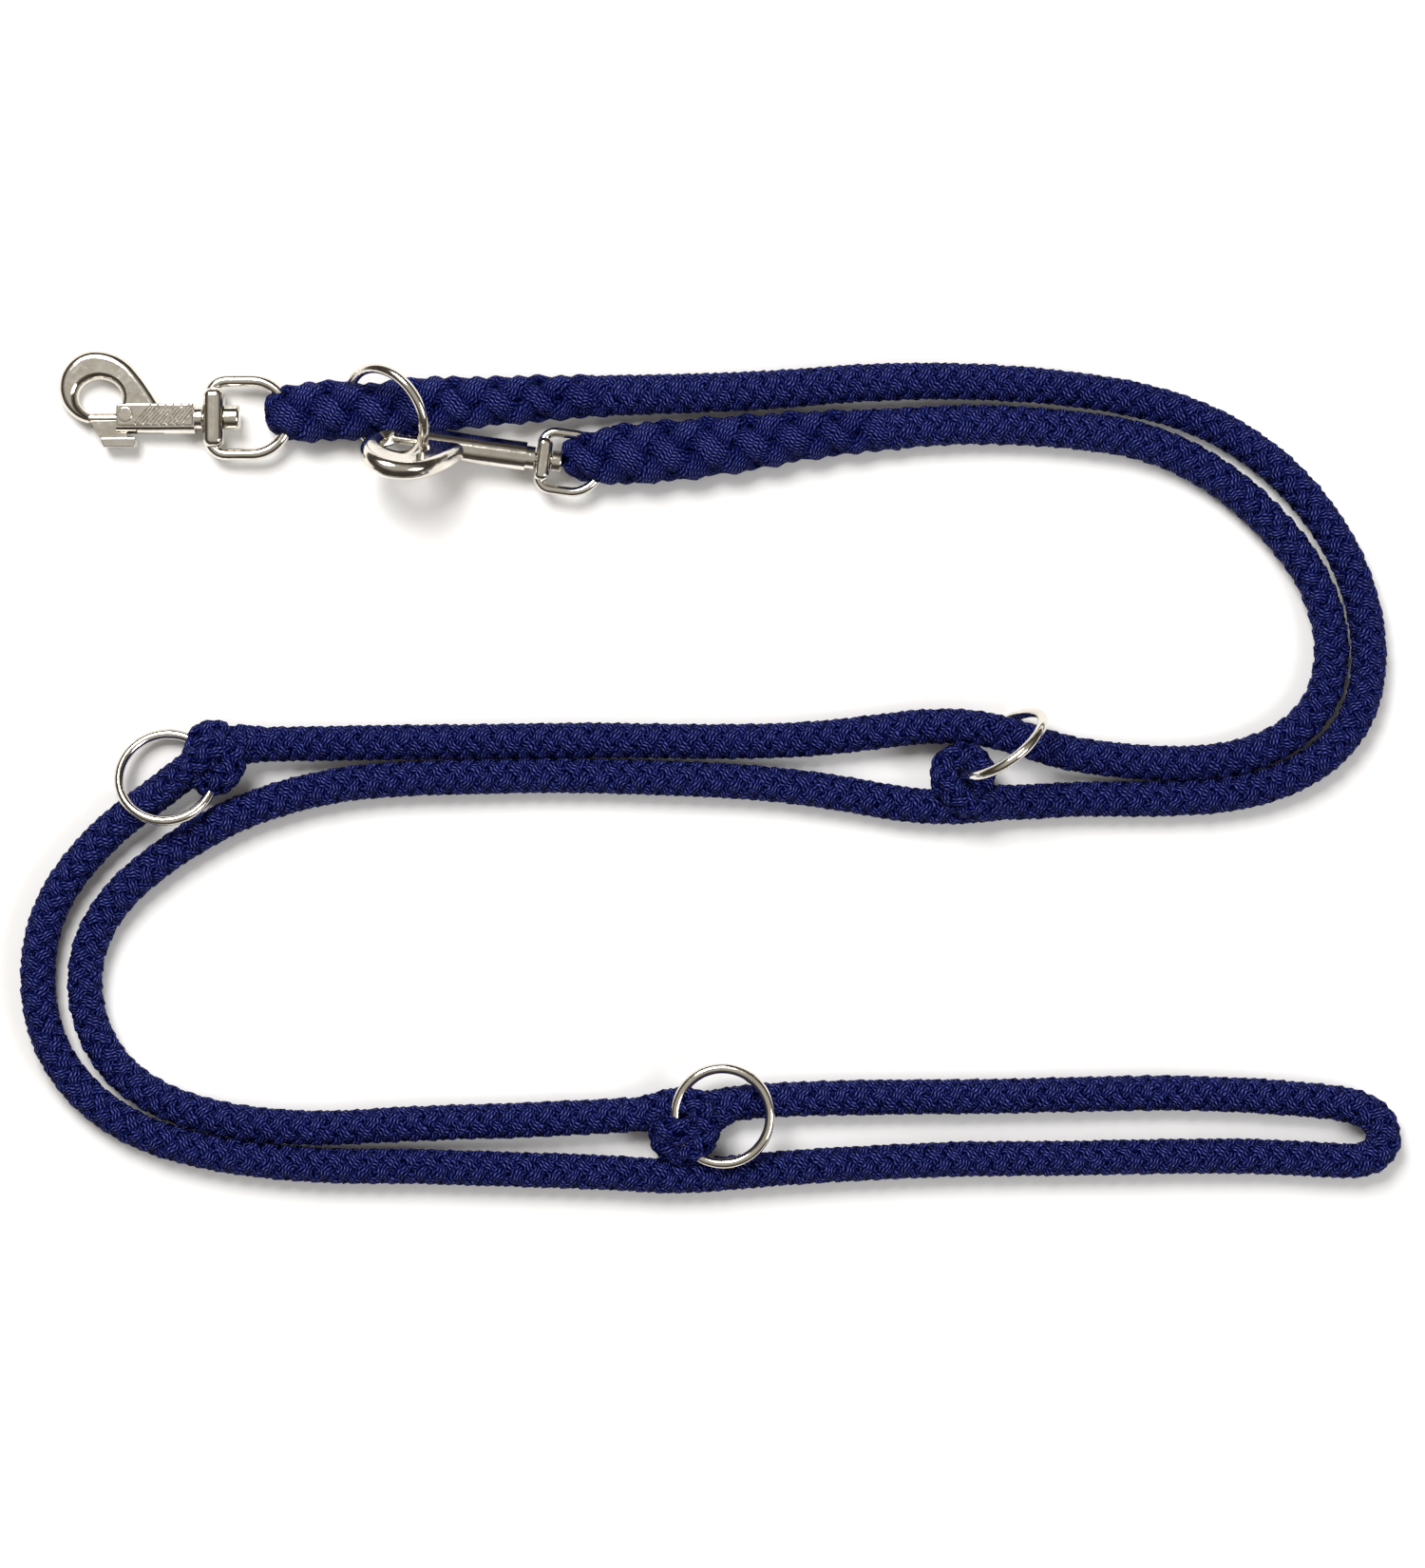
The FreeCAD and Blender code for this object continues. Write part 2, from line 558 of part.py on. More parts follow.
def make_snap(prefix, snap):
    """All the pieces of one bolt snap, in place."""
    pieces = {
        "body": make_snap_body(snap),
        "bolt": make_bolt(),
        "thumb_piece": make_thumb_piece(),
        "spring": make_spring(snap),
        "swivel_post": make_swivel_post(snap),
    }
    placed = {}
    for name, solid in pieces.items():
        placed[prefix + "_" + name] = place(solid, snap_placement(snap))
    placed[prefix + "_eye"] = place(make_eye(snap), eye_placement(snap))
    return placed


def front_eye_room():
    """The room in the front splice for its eye to turn up and down."""
    axis_x = FRONT_SNAP["eye_centre"] + FRONT_SNAP["eye_r"] - FRONT_EYE_PIVOT_IN
    middle = eye_placement(FRONT_SNAP).multVec(Vector(axis_x, 0, 0))
    half = FRONT_EYE_CAVITY_HALF
    side = Vector(0, half, 0)
    return Part.makeCylinder(FRONT_EYE_CAVITY_R, 2 * half, middle - side, Vector(0, 1, 0))


def back_eye_room():
    """The slot in the back splice for the round end of its eye."""
    start = BACK_EYE_SLOT_X
    end = BACK_SNAP["eye_centre"]
    reach = BACK_SNAP["eye_r"]
    margin = BACK_SNAP["eye_wire_r"] + BACK_EYE_GAP
    inner = reach - margin
    outer = reach + BACK_EYE_SLOT_SIDE
    half = BACK_EYE_SLOT / 2
    base = Vector(end, 0, -half)
    room = Part.makeCylinder(reach + margin, BACK_EYE_SLOT, base)
    room = room.cut(Part.makeCylinder(inner, BACK_EYE_SLOT, base))
    room = room.fuse(box((start, -outer, -half), (end, -inner, half)))
    room = room.fuse(box((start, inner, -half), (end, outer, half)))
    return place(room, eye_placement(BACK_SNAP))


def back_snap_room():
    """The room beside the front splice for the back snap's thumb piece and barrel."""
    margin = BACK_SNAP_MARGIN
    low = (BOLT_TIP_X - margin, PAD_LOW - margin, -PAD_HALF - margin)
    room = box(low, (BACK_SNAP_ROOM_X, 0, PAD_HALF + margin))
    room = room.fuse(rod(BARREL_R + margin, BOLT_TIP_X, BACK_SNAP["barrel"]))
    hook_base = Vector(*HOOK_MIDDLE, -HOOK_T / 2 - margin)
    hook_r = BACK_SNAP_ROOM_HOOK_R + margin
    room = room.fuse(Part.makeCylinder(hook_r, HOOK_T + 2 * margin, hook_base))
    far_edges = outer_edges(room, lambda p: p.y < PAD_LOW)
    room = room.makeFillet(BACK_SNAP_ROOM_EDGE_R, far_edges)
    return place(room, snap_placement(BACK_SNAP))


# ---------------------------------------------------------------- the whole lead rope

def build():
    """Every node of the lead rope, by name."""
    rope = {
        "rope_outer_curve": tube("rope_outer_curve", OUTER_CURVE),
        "rope_inner_curve": tube("rope_inner_curve", INNER_CURVE),
        "rope_handle_loop": tube("rope_handle_loop", HANDLE_LOOP),
        "rope_left_curve": tube("rope_left_curve", LEFT_CURVE),
        "rope_middle_run": tube("rope_middle_run", MIDDLE_RUN),
    }
    soft = {
        "front_splice": make_splice(FRONT_SPLICE_AXIS, FRONT_SPLICE_PROFILE),
        "back_splice": make_splice(BACK_SPLICE_AXIS, BACK_SPLICE_PROFILE),
        "left_knot": make_knot(LEFT_KNOT),
        "middle_knot": make_knot(MIDDLE_KNOT),
        "handle_knot": make_knot(HANDLE_KNOT),
    }
    beside_knot = tube("room", LEFT_CURVE[:4], ROPE_D + 2 * GAP, False)
    beside_knot = beside_knot.fuse(tube("room", HANDLE_LOOP[-4:], ROPE_D + 2 * GAP, False))
    soft["handle_knot"] = soft["handle_knot"].cut(beside_knot)
    ends = {
        "rope_outer_curve": ("front_splice", "middle_knot"),
        "rope_inner_curve": ("middle_knot", "handle_knot"),
        "rope_handle_loop": ("handle_knot",),
        "rope_left_curve": ("left_knot",),
        "rope_middle_run": ("left_knot", "back_splice"),
    }
    for name, neighbours in ends.items():
        for neighbour in neighbours:
            rope[name] = rope[name].cut(soft[neighbour])
    rooms = {
        "front_splice": [ring_channel(SPLICE_RING), front_eye_room(), back_snap_room()],
        "back_splice": [back_eye_room()],
        "left_knot": [ring_channel(LEFT_RING)],
        "middle_knot": [ring_channel(MIDDLE_RING)],
        "handle_knot": [flop_room(HANDLE_RING, HELD_HANDLE, FLOP)],
    }
    for name, cutters in rooms.items():
        for cutter in cutters:
            soft[name] = soft[name].cut(cutter)
    nodes = {}
    nodes.update(rope)
    nodes.update(soft)
    nodes["splice_ring"] = make_ring(SPLICE_RING)
    nodes["left_ring"] = make_ring(LEFT_RING)
    nodes["middle_ring"] = make_ring(MIDDLE_RING)
    nodes["handle_ring"] = make_ring(HANDLE_RING)
    nodes.update(make_snap("front_snap", FRONT_SNAP))
    nodes.update(make_snap("back_snap", BACK_SNAP))
    return nodes


def main():
    """Write one STEP file for each node."""
    os.makedirs("parts", exist_ok=True)
    for name, built in build().items():
        solids = built.Solids
        shape = solids[0] if len(solids) == 1 else Part.Compound(solids)
        bounds = shape.BoundBox
        print(name, "solids", len(solids), "valid", shape.isValid(),
              "volume", round(shape.Volume, 1),
              "z", round(bounds.ZMin, 2), round(bounds.ZMax, 2))
        shape.exportStep("parts/" + name + ".step")


main()
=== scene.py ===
import json
import math

import bpy
import numpy as np
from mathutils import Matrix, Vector


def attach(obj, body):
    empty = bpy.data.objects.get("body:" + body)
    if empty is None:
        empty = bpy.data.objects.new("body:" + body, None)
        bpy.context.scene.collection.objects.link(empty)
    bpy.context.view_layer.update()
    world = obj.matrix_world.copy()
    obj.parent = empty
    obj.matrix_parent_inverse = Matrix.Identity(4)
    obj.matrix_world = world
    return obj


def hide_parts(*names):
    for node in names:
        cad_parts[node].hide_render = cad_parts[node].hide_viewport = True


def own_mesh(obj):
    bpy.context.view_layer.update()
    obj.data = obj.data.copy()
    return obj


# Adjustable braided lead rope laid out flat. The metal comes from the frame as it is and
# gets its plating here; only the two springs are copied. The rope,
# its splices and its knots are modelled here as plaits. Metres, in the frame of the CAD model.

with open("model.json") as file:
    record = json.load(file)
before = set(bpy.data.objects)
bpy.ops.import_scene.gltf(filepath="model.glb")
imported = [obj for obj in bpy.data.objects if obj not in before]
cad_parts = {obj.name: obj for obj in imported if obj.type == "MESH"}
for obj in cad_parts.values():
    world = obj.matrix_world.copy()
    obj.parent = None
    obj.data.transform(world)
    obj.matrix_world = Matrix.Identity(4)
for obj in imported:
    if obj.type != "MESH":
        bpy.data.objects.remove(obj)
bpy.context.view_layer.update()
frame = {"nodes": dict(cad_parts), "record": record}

# ---- rope ----
ROPE_Z = 0.00502              # height of the rope's middle where it lies on the table
HUMP_Z = 0.0089               # height of its middle where it crosses the middle ring

# The rope's route, one list for each length between splices and knots. The points are the
# control points of a smooth line. The inner curve starts two points further inside the middle
# knot than its CAD tube, which hides its end.
OUTER_CURVE = [
    (-0.038, 0.1109, ROPE_Z), (-0.01, 0.1115, ROPE_Z), (0.018, 0.1126, ROPE_Z), (0.048, 0.1152, ROPE_Z),
    (0.078, 0.1154, ROPE_Z), (0.105, 0.1134, ROPE_Z), (0.129, 0.1096, ROPE_Z), (0.149, 0.1028, ROPE_Z),
    (0.1666, 0.0914, ROPE_Z), (0.1806, 0.0764, ROPE_Z), (0.1906, 0.0584, ROPE_Z),
    (0.1952, 0.04, ROPE_Z), (0.1944, 0.023, ROPE_Z), (0.1878, 0.0094, ROPE_Z), (0.175, -0.0008, ROPE_Z),
    (0.156, -0.0072, ROPE_Z), (0.13, -0.0084, ROPE_Z), (0.106, -0.0082, ROPE_Z),
    (0.091, -0.0094, ROPE_Z), (0.078, -0.009, ROPE_Z),
]
INNER_CURVE = [
    (0.086, -0.0094, ROPE_Z), (0.078, -0.0102, ROPE_Z), (0.072, -0.0106, ROPE_Z),
    (0.06, -0.0104, ROPE_Z), (0.038, -0.0063, ROPE_Z),
    (0.014, -0.0032, ROPE_Z), (-0.014, -0.002, ROPE_Z), (-0.044, -0.0011, ROPE_Z),
    (-0.074, -0.0017, ROPE_Z), (-0.101, -0.0026, ROPE_Z), (-0.122, -0.0063, ROPE_Z),
    (-0.142, -0.0132, ROPE_Z), (-0.16, -0.0239, ROPE_Z), (-0.1742, -0.0354, ROPE_Z),
    (-0.1828, -0.0482, ROPE_Z), (-0.1856, -0.062, ROPE_Z), (-0.183, -0.0766, ROPE_Z),
    (-0.1746, -0.0896, ROPE_Z), (-0.16, -0.099, ROPE_Z), (-0.139, -0.1042, ROPE_Z),
    (-0.116, -0.1059, ROPE_Z), (-0.09, -0.1042, ROPE_Z), (-0.06, -0.1034, ROPE_Z),
    (-0.032, -0.1021, ROPE_Z), (-0.016, -0.1012, ROPE_Z), (-0.008, -0.1004, ROPE_Z),
]
HANDLE_LOOP = [
    (-0.006, -0.1008, ROPE_Z), (0.004, -0.0984, ROPE_Z), (0.02, -0.097, ROPE_Z),
    (0.048, -0.0964, ROPE_Z), (0.078, -0.0962, ROPE_Z), (0.108, -0.0956, ROPE_Z),
    (0.134, -0.095, ROPE_Z), (0.158, -0.0957, ROPE_Z), (0.176, -0.097, ROPE_Z),
    (0.188, -0.0984, ROPE_Z), (0.1956, -0.1008, ROPE_Z), (0.1994, -0.106, ROPE_Z),
    (0.1989, -0.112, ROPE_Z), (0.193, -0.1154, ROPE_Z), (0.182, -0.115, ROPE_Z),
    (0.164, -0.1138, ROPE_Z), (0.136, -0.1138, ROPE_Z), (0.106, -0.1145, ROPE_Z),
    (0.076, -0.1145, ROPE_Z), (0.046, -0.1158, ROPE_Z), (0.018, -0.1175, ROPE_Z),
    (0.005, -0.1188, ROPE_Z),
]
LEFT_CURVE = [
    (0.005, -0.1188, ROPE_Z), (-0.008, -0.1201, ROPE_Z), (-0.034, -0.1184, ROPE_Z),
    (-0.062, -0.1176, ROPE_Z), (-0.09, -0.1167, ROPE_Z), (-0.114, -0.1168, ROPE_Z),
    (-0.136, -0.1149, ROPE_Z), (-0.158, -0.1108, ROPE_Z), (-0.175, -0.1038, ROPE_Z),
    (-0.1886, -0.0924, ROPE_Z), (-0.197, -0.0775, ROPE_Z), (-0.1994, -0.061, ROPE_Z),
    (-0.1972, -0.045, ROPE_Z), (-0.19, -0.031, ROPE_Z), (-0.178, -0.0176, ROPE_Z),
    (-0.165, -0.0078, ROPE_Z), (-0.153, 0.0012, ROPE_Z),
]
MIDDLE_RUN = [
    (-0.146, 0.0056, ROPE_Z), (-0.136, 0.008, ROPE_Z), (-0.118, 0.0081, ROPE_Z),
    (-0.09, 0.0086, ROPE_Z), (-0.06, 0.0089, ROPE_Z), (-0.03, 0.0093, ROPE_Z), (0, 0.0086, ROPE_Z),
    (0.026, 0.0091, ROPE_Z), (0.048, 0.0114, ROPE_Z), (0.063, 0.0134, ROPE_Z), (0.077, 0.0132, HUMP_Z),
    (0.089, 0.0106, HUMP_Z), (0.103, 0.0058, ROPE_Z), (0.118, 0.0034, ROPE_Z), (0.134, 0.0021, ROPE_Z),
    (0.15, 0.0027, ROPE_Z), (0.164, 0.0062, ROPE_Z), (0.175, 0.0128, ROPE_Z), (0.182, 0.0226, ROPE_Z),
    (0.1843, 0.035, ROPE_Z), (0.1824, 0.0476, ROPE_Z), (0.1768, 0.06, ROPE_Z), (0.1678, 0.0718, ROPE_Z),
    (0.156, 0.083, ROPE_Z), (0.142, 0.0922, ROPE_Z), (0.126, 0.0984, ROPE_Z), (0.106, 0.1012, ROPE_Z),
    (0.08, 0.1028, ROPE_Z), (0.058, 0.1016, ROPE_Z), (0.046, 0.1008, ROPE_Z),
]

# The splices, from the eye that they hold to the plain rope, and their overall radius and
# flattening at distances from the front.
FRONT_SPLICE = [
    (-0.1306, 0.1052, 0.0063), (-0.118, 0.1062, 0.0064), (-0.098, 0.1070, 0.0065),
    (-0.078, 0.1086, 0.0063), (-0.056, 0.1098, 0.0060), (-0.032, 0.1111, 0.0052),
]
FRONT_SPLICE_PROFILE = [
    (0, 0.0024, 0.9), (0.0012, 0.0058, 0.85), (0.004, 0.0080, 0.76), (0.010, 0.0092, 0.70),
    (0.022, 0.0094, 0.68), (0.032, 0.0080, 0.76), (0.041, 0.0087, 0.72), (0.052, 0.0085, 0.73),
    (0.064, 0.0078, 0.78), (0.078, 0.0074, 0.82), (0.094, 0.0067, 0.87), (0.106, 0.0062, 0.87),
]
BACK_SPLICE = [
    (-0.0430, 0.0921, 0.0063), (-0.028, 0.0932, 0.0064), (-0.008, 0.0950, 0.0064),
    (0.014, 0.0973, 0.0062), (0.034, 0.1000, 0.0057), (0.055, 0.1011, 0.0051),
]
BACK_SPLICE_PROFILE = [
    (0, 0.0024, 0.9), (0.0012, 0.0055, 0.85), (0.004, 0.0073, 0.78), (0.010, 0.0083, 0.75),
    (0.018, 0.0095, 0.68), (0.032, 0.0095, 0.68), (0.047, 0.0091, 0.70), (0.060, 0.0084, 0.74),
    (0.075, 0.0075, 0.80), (0.088, 0.0068, 0.86), (0.100, 0.0062, 0.87),
]

# The knots, from where the rope comes in to where it leaves.
LEFT_KNOT = [
    (-0.1650, -0.0085, 0.0056), (-0.1585, -0.0025, 0.0070), (-0.1520, 0.0020, 0.0108),
    (-0.1465, 0.0055, 0.0126), (-0.1430, 0.0098, 0.0104), (-0.1468, 0.0116, 0.0086),
    (-0.1503, 0.0096, 0.0092), (-0.1520, 0.0040, 0.0066), (-0.1505, -0.0025, 0.0068),
    (-0.1465, -0.0036, 0.0098), (-0.1415, -0.0010, 0.0116), (-0.1404, 0.0048, 0.0118),
    (-0.1418, 0.0096, 0.0080), (-0.1370, 0.0096, 0.0056), (-0.1290, 0.0083, 0.0050),
]
MIDDLE_KNOT = [
    (0.0880, -0.0094, 0.0052), (0.0800, -0.0112, 0.0074), (0.0726, -0.0086, 0.0110),
    (0.0682, -0.0024, 0.0128), (0.0698, 0.0034, 0.0126), (0.0752, 0.0048, 0.0116),
    (0.0798, 0.0020, 0.0092), (0.0804, -0.0040, 0.0070), (0.0762, -0.0074, 0.0050),
    (0.0702, -0.0060, 0.0046), (0.0688, 0.0002, 0.0048), (0.0724, 0.0030, 0.0060),
    (0.0766, 0.0000, 0.0052), (0.0740, -0.0070, 0.0046), (0.0665, -0.0102, 0.0050),
    (0.0580, -0.0101, 0.0052),
]
HANDLE_KNOT = [
    (-0.0240, -0.1018, 0.0052), (-0.0170, -0.0996, 0.0060), (-0.0100, -0.0976, 0.0064),
    (-0.0040, -0.0970, 0.0108), (-0.0004, -0.1036, 0.0124), (-0.0028, -0.1102, 0.0110),
    (-0.0085, -0.1126, 0.0084), (-0.0138, -0.1098, 0.0078), (-0.0142, -0.1050, 0.0096),
    (-0.0100, -0.1062, 0.0126), (-0.0045, -0.1064, 0.0088), (0.0005, -0.1030, 0.0056),
    (0.0060, -0.0988, 0.0050), (0.0120, -0.0975, 0.0052),
]

# ---- colours ----
# The material draws each plait's yarns from its coordinates in millimetres.
YARNS_PER_MM = 1.05
YARN_SWING = 0.22             # how far a yarn waves aside, in yarn widths
SWING_RATE = 1.9              # radians of that wave per millimetre
SWING_SHIFT = 6.3             # spreads the wave's start over the plaits
YARN_WANDER = 1.5
WANDER_SCALE = 420
PLY_RATE = 4.6                # radians of a yarn's twist per millimetre
PLY_LEAN = 5.0                # radians of it from one yarn to the next
PLY_DEPTH = 0.28
FIBRE_SCALE = 2600
FIBRE_DEPTH = 0.35
YARN_BUMP = 0.0006
# Painted shade: plaits are darkened where they dip under a neighbour and on their inner side.
UNDERSIDE_SHADE = 0.20        # how bright the dips stay

# The cord's colour ramp runs from painted shade in the dips and grooves to painted highlights on the yarn
# crests.
CORD_SHADED_TO_LIT_COLOURS = [
    (0.0, (0.0001, 0.0006, 0.018)), (0.28, (0.0018, 0.0044, 0.060)), (0.60, (0.027, 0.035, 0.178)),
    (1.0, (0.13, 0.15, 0.45)),
]
NICKEL_COLOURS = [(0.3, (0.70, 0.655, 0.57)), (0.75, (0.86, 0.83, 0.77))]
STEEL_COLOURS = [(0.3, (0.38, 0.38, 0.40)), (0.7, (0.55, 0.55, 0.57))]
FLOOR_COLOURS = [(0.3, (0.93, 0.925, 0.92)), (0.7, (0.97, 0.965, 0.96))]
ROOM_COLOURS = [
    (0.0, (0.85, 0.84, 0.82)), (0.02, (0.10, 0.085, 0.07)), (0.35, (0.045, 0.038, 0.032)),
    (0.60, (0.08, 0.07, 0.06)), (0.80, (0.32, 0.30, 0.27)), (0.93, (0.48, 0.46, 0.42)),
    (1.0, (0.42, 0.40, 0.37)),
]

# ---- braid: four plaits each way round, each passing over one and under one ----
PLAITS_EACH_WAY = 4
BRAID_PITCH = 0.0226          # length of rope in which a plait goes once round
PLAIT_WIDTH = 0.0041
PLAIT_THICKNESS = 0.0023
PLAIT_RADIUS = 0.0037         # from the rope's middle to the middle of a plait
WEAVE_RISE = 0.00062          # how far a plait rises over the next and dips under it
PLAIT_SWAY = 0.05             # how far a plait wanders round the rope, radians
PLAIT_SWELL = 0.07            # share by which its width varies
PLAIT_LIFT = 0.00012          # how far its distance from the middle varies
PLAIT_RIDGE = 0.07            # depth of the ridges along it, as a share of its width
FIRST_PLAIT_ANGLE = 0.35
CORE_SHARE = 0.95             # the filling reaches this share of the plaits' radius
# Painted shade of the filling: nearly black.
CORE_SHADE = 0.05
SECTION_POINTS = 12
STEP = 0.0008                 # spacing of the sections along the rope

# ---- splices and knots ----
SPLICE_PLAITS_EACH_WAY = 3
SPLICE_PLAIT_WIDTH = 0.0086
SPLICE_PLAIT_THICKNESS = 0.0042
SPLICE_PITCH = 0.037
SPLICE_RISE = 0.0011
SPLICE_THIN_R = 0.005         # a splice of this overall radius has the plain rope's plaits
SPLICE_FULL_MORE = 0.0036     # one that is this much bigger has its full plaits
SPLICE_LEAST_RADIUS = 0.0008  # its plaits never come nearer to its middle
SPLICE_WIDTH_LIMIT = 1.45     # nor are they wider than this many times that distance
SPLICE_UNEVEN = 2.2           # how much less even its plaits are than the rope's
SWOLLEN_SCALE = 1.16          # the rope is this much wider where it leaves a splice
SWOLLEN_LENGTH = 0.15

FLOOR_HALF = 6
WINDOW = {"place": (-0.5, 1.0, 1.5), "size": 0.9, "power": 36, "colour": (1.0, 0.99, 0.98)}
FILL = {"place": (1.2, -0.5, 1.3), "size": 0.8, "power": 13, "colour": (0.97, 0.98, 1.0)}
CAMERA_HEIGHT = 1.35
VIEW_CENTRE = (0.0007, -0.0038)
VIEW_LENGTH = 0.4653          # the long side of the picture covers this much of the table


# ---------------------------------------------------------------- camera and stage

def make_camera():
    """Camera straight above the layout."""
    data = bpy.data.cameras.new("camera")
    data.sensor_width = 36
    data.lens = data.sensor_width * CAMERA_HEIGHT / VIEW_LENGTH
    data.clip_end = 20
    camera = bpy.data.objects.new("camera", data)
    camera.location = (*VIEW_CENTRE, CAMERA_HEIGHT)
    bpy.context.scene.collection.objects.link(camera)
    bpy.context.scene.camera = camera


# ---------------------------------------------------------------- materials

def new_material(name):
    """A node material and its main shader."""
    material = bpy.data.materials.new(name)
    material.use_nodes = True
    return material, material.node_tree, material.node_tree.nodes["Principled BSDF"]


def math_node(tree, operation, first, second=None):
    """A math node; its inputs are numbers or sockets."""
    node = tree.nodes.new("ShaderNodeMath")
    node.operation = operation
    for socket, value in zip(node.inputs, (first, second)):
        if value is None:
            continue
        if isinstance(value, (int, float)):
            socket.default_value = value
        else:
            tree.links.new(value, socket)
    return node.outputs[0]


def ramp_node(tree, factor, stops):
    """A colour ramp over (position, colour) stops."""
    node = tree.nodes.new("ShaderNodeValToRGB")
    elements = node.color_ramp.elements
    while len(elements) < len(stops):
        elements.new(0.5)
    for element, (position, colour) in zip(elements, stops):
        element.position = position
        element.color = (*colour, 1)
    tree.links.new(factor, node.inputs["Fac"])
    return node.outputs["Color"]


def noise_node(tree, scale, detail=2.0, vector=None):
    """A noise texture in object space."""
    node = tree.nodes.new("ShaderNodeTexNoise")
    node.inputs["Scale"].default_value = scale
    node.inputs["Detail"].default_value = detail
    if vector is None:
        vector = tree.nodes.new("ShaderNodeTexCoord").outputs["Object"]
    tree.links.new(vector, node.inputs["Vector"])
    return node.outputs["Fac"]


def bump(tree, shader, height, strength, distance):
    """Bump from a height socket into a shader."""
    node = tree.nodes.new("ShaderNodeBump")
    node.inputs["Strength"].default_value = strength
    node.inputs["Distance"].default_value = distance
    tree.links.new(height, node.inputs["Height"])
    tree.links.new(node.outputs["Normal"], shader.inputs["Normal"])


def cord_material():
    """Deep blue multifilament plaits: wavy two-ply yarns side by side, with painted shade in the dips and
    grooves and painted highlights on the yarns.
    """
    material, tree, shader = new_material("braided_cord")
    yarn = tree.nodes.new("ShaderNodeAttribute")
    yarn.attribute_name = "yarn"
    parts = tree.nodes.new("ShaderNodeSeparateXYZ")
    tree.links.new(yarn.outputs["Vector"], parts.inputs[0])
    across, along, chance = parts.outputs
    painted_shade = tree.nodes.new("ShaderNodeAttribute")
    painted_shade.attribute_name = "painted_shade"

    # along and across are in millimetres; chance is different on each plait
    wander = noise_node(tree, WANDER_SCALE, 3.0)
    swing_phase = math_node(tree, "ADD", math_node(tree, "MULTIPLY", along, SWING_RATE),
                            math_node(tree, "MULTIPLY", chance, SWING_SHIFT))
    swing = math_node(tree, "SINE", swing_phase)
    bent = math_node(tree, "ADD", math_node(tree, "MULTIPLY", across, YARNS_PER_MM),
                     math_node(tree, "MULTIPLY", swing, YARN_SWING))
    bent = math_node(tree, "ADD", bent, math_node(tree, "MULTIPLY", wander, YARN_WANDER))
    yarns = math_node(tree, "ABSOLUTE", math_node(tree, "SINE", math_node(tree, "MULTIPLY", bent, math.pi)))
    ply_phase = math_node(tree, "ADD", math_node(tree, "MULTIPLY", along, PLY_RATE),
                          math_node(tree, "MULTIPLY", bent, PLY_LEAN))
    ply = math_node(tree, "SINE", ply_phase)
    height = math_node(tree, "ADD", math_node(tree, "POWER", yarns, 0.7),
                       math_node(tree, "MULTIPLY", ply, PLY_DEPTH))
    fibre = noise_node(tree, FIBRE_SCALE, 2.0)
    height = math_node(tree, "ADD", height, math_node(tree, "MULTIPLY", fibre, FIBRE_DEPTH))
    bump(tree, shader, height, 1.0, YARN_BUMP)

    # The base colour is painted light: painted shade in the grooves between yarns, painted highlights on
    # the ply crests.
    shade = math_node(tree, "MULTIPLY", math_node(tree, "POWER", yarns, 1.1),
                      math_node(tree, "ADD", 1 - PLY_DEPTH, math_node(tree, "MULTIPLY", ply, PLY_DEPTH)))
    # Painted shade of the dips and undersides, read from the corners.
    raised = math_node(tree, "MULTIPLY", painted_shade.outputs["Fac"], 1 - UNDERSIDE_SHADE)
    shade_in_dips = math_node(tree, "ADD", UNDERSIDE_SHADE, raised)
    shade = math_node(tree, "MULTIPLY", shade, shade_in_dips)
    colour = ramp_node(tree, shade, CORD_SHADED_TO_LIT_COLOURS)
    tree.links.new(colour, shader.inputs["Base Color"])
    rough = math_node(tree, "ADD", 0.52, math_node(tree, "MULTIPLY", fibre, 0.3))
    tree.links.new(rough, shader.inputs["Roughness"])
    shader.inputs["Specular IOR Level"].default_value = 0.05
    shader.inputs["Specular Tint"].default_value = (0.40, 0.45, 1.0, 1)
    return material


def nickel_material():
    """Bright nickel plate with faint polishing marks and handling wear."""
    material, tree, shader = new_material("nickel_plate")
    shader.inputs["Metallic"].default_value = 1
    wear = noise_node(tree, 160, 4.0)
    colour = ramp_node(tree, wear, NICKEL_COLOURS)
    tree.links.new(colour, shader.inputs["Base Color"])
    grain = noise_node(tree, 900, 3.0)
    rough = math_node(tree, "ADD", 0.05, math_node(tree, "MULTIPLY", grain, 0.16))
    tree.links.new(rough, shader.inputs["Roughness"])
    ripple = noise_node(tree, 260, 3.0)
    bump(tree, shader, ripple, 0.25, 0.0003)
    return material


def spring_material():
    """Plain drawn spring steel."""
    material, tree, shader = new_material("spring_steel")
    shader.inputs["Metallic"].default_value = 1
    grain = noise_node(tree, 1500, 3.0)
    colour = ramp_node(tree, grain, STEEL_COLOURS)
    tree.links.new(colour, shader.inputs["Base Color"])
    rough = math_node(tree, "ADD", 0.25, math_node(tree, "MULTIPLY", grain, 0.2))
    tree.links.new(rough, shader.inputs["Roughness"])
    bump(tree, shader, grain, 0.2, 0.0001)
    return material


# ---------------------------------------------------------------- braid

def centreline(name, points):
    """Evenly spaced points read from the smooth line through a route's control points."""
    curve = bpy.data.curves.new(name + "_line", "CURVE")
    curve.dimensions = "3D"
    spline = curve.splines.new("NURBS")
    spline.points.add(len(points) - 1)
    for target, point in zip(spline.points, points):
        target.co = (*point, 1)
    spline.order_u = 3
    spline.use_endpoint_u = True
    spline.resolution_u = 16
    holder = bpy.data.objects.new(name + "_line", curve)
    mesh = bpy.data.meshes.new_from_object(holder)
    line = np.array([v.co[:] for v in mesh.vertices])
    bpy.data.meshes.remove(mesh)
    bpy.data.objects.remove(holder)
    bpy.data.curves.remove(curve)
    return evenly(line, STEP)


